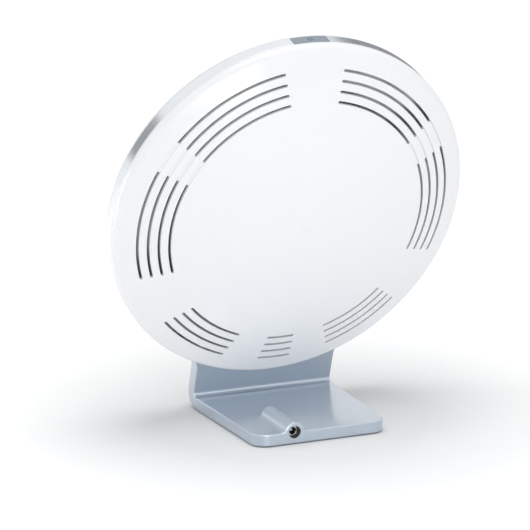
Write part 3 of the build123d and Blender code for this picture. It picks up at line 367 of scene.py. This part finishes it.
copper_winding = make_finish(
    "copper_winding", (0.42, 0.13, 0.035), 0.32, tone=0.18, spread=0.12, grain=1600.0, stretch=(1, 1, 8),
    bump=0.0001, edge=0.0001, Metallic=0.9)
can_sleeve = make_finish(
    "can_sleeve", (0.74, 0.75, 0.77), 0.30, tone=0.06, spread=0.12, grain=900.0, bump=0.00002, edge=0.0002,
    Metallic=1.0)
header_nylon = make_finish(
    "header_nylon", (0.80, 0.79, 0.74), 0.46, tone=0.04, spread=0.08, grain=1500.0, bump=0.00002, edge=0.0002)
dress(brass, "board_standoffs")
dress(zinc_steel, "board_screws")
dress(copper_winding, "driver_inductor")
dress(can_sleeve, "driver_capacitors")
dress(nylon_black, "driver_chips")
dress(header_nylon, "driver_connectors")

# ---------------------------------------------------------------- inner wires
# Stranded copper in PVC: two black supply wires up the stand, and thin white pairs for the
# switch and for the diodes.

pvc_black = make_finish(
    "pvc_black", (0.02, 0.02, 0.022), 0.38, tone=0.15, spread=0.10, grain=1200.0, bump=0.00003, edge=0.0002)
pvc_white = make_finish(
    "pvc_white", (0.78, 0.78, 0.76), 0.38, tone=0.04, spread=0.10, grain=1200.0, bump=0.00003, edge=0.0002)
dress(pvc_black, "supply_leads")
dress(pvc_white, "switch_leads", "diode_leads")

# ---------------------------------------------------------------- rear cover
# The domed back is injection moulded in glossy white ABS, with arcs of vent slots near its rim.
# Pan-head screws through the flange hold it from inside, so that none shows.

# Painted shade: an occlusion mask lays a dark blue-grey into the seam, the slot walls and corners.
gloss_white = make_finish(
    "gloss_white", (0.91, 0.92, 0.935), 0.13, tone=0.012, spread=0.05, grain=240.0, bump=0.000004,
    edge=0.0003, painted_shade=(0.11, 0.15, 0.20), **{"Specular IOR Level": 0.5})
dress(gloss_white, "rear_cover")
dress(zinc_steel, "cover_screws")

# ---------------------------------------------------------------- floor, lamps and camera
# A pale floor and three soft lamps: one overhead, one low behind and one low to the left. The floor's
# darkening round the set is partly real shadow and partly painted shade, because it glows to white only far
# from the set.
# Two grey cards stand beside the set and show in the silver band.

FLOOR_SIZE = 12.0
bpy.ops.object.select_all(action="DESELECT")
bpy.ops.mesh.primitive_plane_add(size=FLOOR_SIZE)
floor = bpy.context.object
floor.name = "floor"
paper = bpy.data.materials.new("paper")
paper.use_nodes = True
sheet = paper.node_tree.nodes["Principled BSDF"]
sheet.inputs["Base Color"].default_value = (0.88, 0.88, 0.88, 1.0)
sheet.inputs["Roughness"].default_value = 0.9
sheet.inputs["Specular IOR Level"].default_value = 0.1
sheet.inputs["Emission Color"].default_value = (1.0, 1.0, 1.0, 1.0)
# Painted shade near the set: the floor's glow for camera and glossy rays fades in from 0.11 m to 0.42 m from
# the middle, so the floor stays darker close to the set.
seen = add_node(paper.node_tree, "ShaderNodeLightPath")
place = add_node(paper.node_tree, "ShaderNodeTexCoord")
away = add_node(paper.node_tree, "ShaderNodeVectorMath", operation="LENGTH")
fade = add_node(
    paper.node_tree, "ShaderNodeMapRange",
    {"From Min": 0.11, "From Max": 0.42, "To Min": 0.0, "To Max": 0.53})
seen_or_mirrored = add_node(paper.node_tree, "ShaderNodeMath", operation="MAXIMUM")
painted_glow = add_node(paper.node_tree, "ShaderNodeMath", operation="MULTIPLY")
paper.node_tree.links.new(place.outputs["Object"], away.inputs[0])
paper.node_tree.links.new(away.outputs["Value"], fade.inputs["Value"])
paper.node_tree.links.new(seen.outputs["Is Camera Ray"], seen_or_mirrored.inputs[0])
paper.node_tree.links.new(seen.outputs["Is Glossy Ray"], seen_or_mirrored.inputs[1])
paper.node_tree.links.new(seen_or_mirrored.outputs[0], painted_glow.inputs[0])
paper.node_tree.links.new(fade.outputs[0], painted_glow.inputs[1])
paper.node_tree.links.new(painted_glow.outputs[0], sheet.inputs["Emission Strength"])
floor.data.materials.append(paper)

DAYLIGHT = 0.54
world = bpy.data.worlds.new("studio")
bpy.context.scene.world = world
world.use_nodes = True
air = world.node_tree
plain = air.nodes["Background"]
plain.inputs["Color"].default_value = (0.97, 0.985, 1.0, 1.0)
plain.inputs["Strength"].default_value = DAYLIGHT
white = add_node(air, "ShaderNodeBackground", {"Strength": 1.0, "Color": (1, 1, 1, 1)})
ray = add_node(air, "ShaderNodeLightPath")
shown = add_node(air, "ShaderNodeMath", operation="MAXIMUM")
shown_in_metal = add_node(air, "ShaderNodeMath", operation="MAXIMUM")
choose = add_node(air, "ShaderNodeMixShader")
air.links.new(ray.outputs["Is Camera Ray"], shown.inputs[0])
air.links.new(ray.outputs["Is Transmission Ray"], shown.inputs[1])
air.links.new(shown.outputs[0], shown_in_metal.inputs[0])
air.links.new(ray.outputs["Is Glossy Ray"], shown_in_metal.inputs[1])
air.links.new(shown_in_metal.outputs[0], choose.inputs[0])
air.links.new(plain.outputs[0], choose.inputs[1])
air.links.new(white.outputs[0], choose.inputs[2])
air.links.new(choose.outputs[0], air.nodes["World Output"].inputs["Surface"])

SET_MIDDLE = Vector((0.0, 0.0, 0.16))


def heading(azimuth, elevation):
    """Unit vector at an angle from +Y towards +X and above the floor, in degrees."""
    turn, rise = math.radians(azimuth), math.radians(elevation)
    return Vector((math.sin(turn) * math.cos(rise), math.cos(turn) * math.cos(rise), math.sin(rise)))


def add_lamp(name, azimuth, elevation, distance, size, power):
    """A square soft lamp that shines at the middle of the lamp on show."""
    data = bpy.data.lights.new(name, "AREA")
    data.shape = "SQUARE"
    data.size = size
    data.energy = power
    lamp = bpy.data.objects.new(name, data)
    bpy.context.scene.collection.objects.link(lamp)
    way = heading(azimuth, elevation)
    lamp.location = SET_MIDDLE + way * distance
    lamp.rotation_euler = way.to_track_quat("Z", "Y").to_euler()
    lamp.visible_camera = False


def add_card(name, azimuth, distance, width, low, high):
    """A grey card that stands upright beside the set and shows in the silver band."""
    way = heading(azimuth, 0.0)
    middle = way * distance + Vector((0.0, 0.0, (low + high) / 2))
    bpy.ops.object.select_all(action="DESELECT")
    facing = way.to_track_quat("Z", "Y").to_euler()
    bpy.ops.mesh.primitive_plane_add(size=1.0, location=middle, rotation=facing)
    card = bpy.context.object
    card.name = name
    card.scale = (width, high - low, 1.0)
    card.visible_camera = False
    card.data.materials.append(card_grey)


card_grey = bpy.data.materials.new("card_grey")
card_grey.use_nodes = True
card_grey.node_tree.nodes["Principled BSDF"].inputs["Base Color"].default_value = (0.42, 0.43, 0.45, 1.0)
card_grey.node_tree.nodes["Principled BSDF"].inputs["Roughness"].default_value = 0.9
add_lamp("overhead", -20.0, 84.0, 1.8, 1.2, 13.0)
add_lamp("fill_behind", 5.0, -2.0, 1.4, 0.5, 8.0)
add_lamp("fill_left", 112.0, -3.0, 0.7, 0.3, 1.0)
add_card("card_left", 139.0, 2.0, 0.6, 0.55, 1.25)
add_card("card_right", -142.0, 3.0, 0.75, 0.01, 2.2)

LENS = 203.77
CAMERA_AZIMUTH, CAMERA_ELEVATION, CAMERA_DISTANCE = 23.663, 13.058, 2.3903
CAMERA_CENTRE = Vector((0.0, -0.002676, 0.1726))
SENSOR_WIDTH = 36.0
GAZE_AZIMUTH, GAZE_ELEVATION = 23.211, 14.112
camera_data = bpy.data.cameras.new("camera")
camera_data.lens = LENS
camera_data.sensor_width = SENSOR_WIDTH
camera = bpy.data.objects.new("camera", camera_data)
bpy.context.scene.collection.objects.link(camera)
bpy.context.scene.camera = camera
camera.location = CAMERA_CENTRE + heading(CAMERA_AZIMUTH, CAMERA_ELEVATION) * CAMERA_DISTANCE
camera.rotation_euler = (-heading(GAZE_AZIMUTH, GAZE_ELEVATION)).to_track_quat("-Z", "Y").to_euler()
bpy.context.scene.view_settings.view_transform = "Standard"
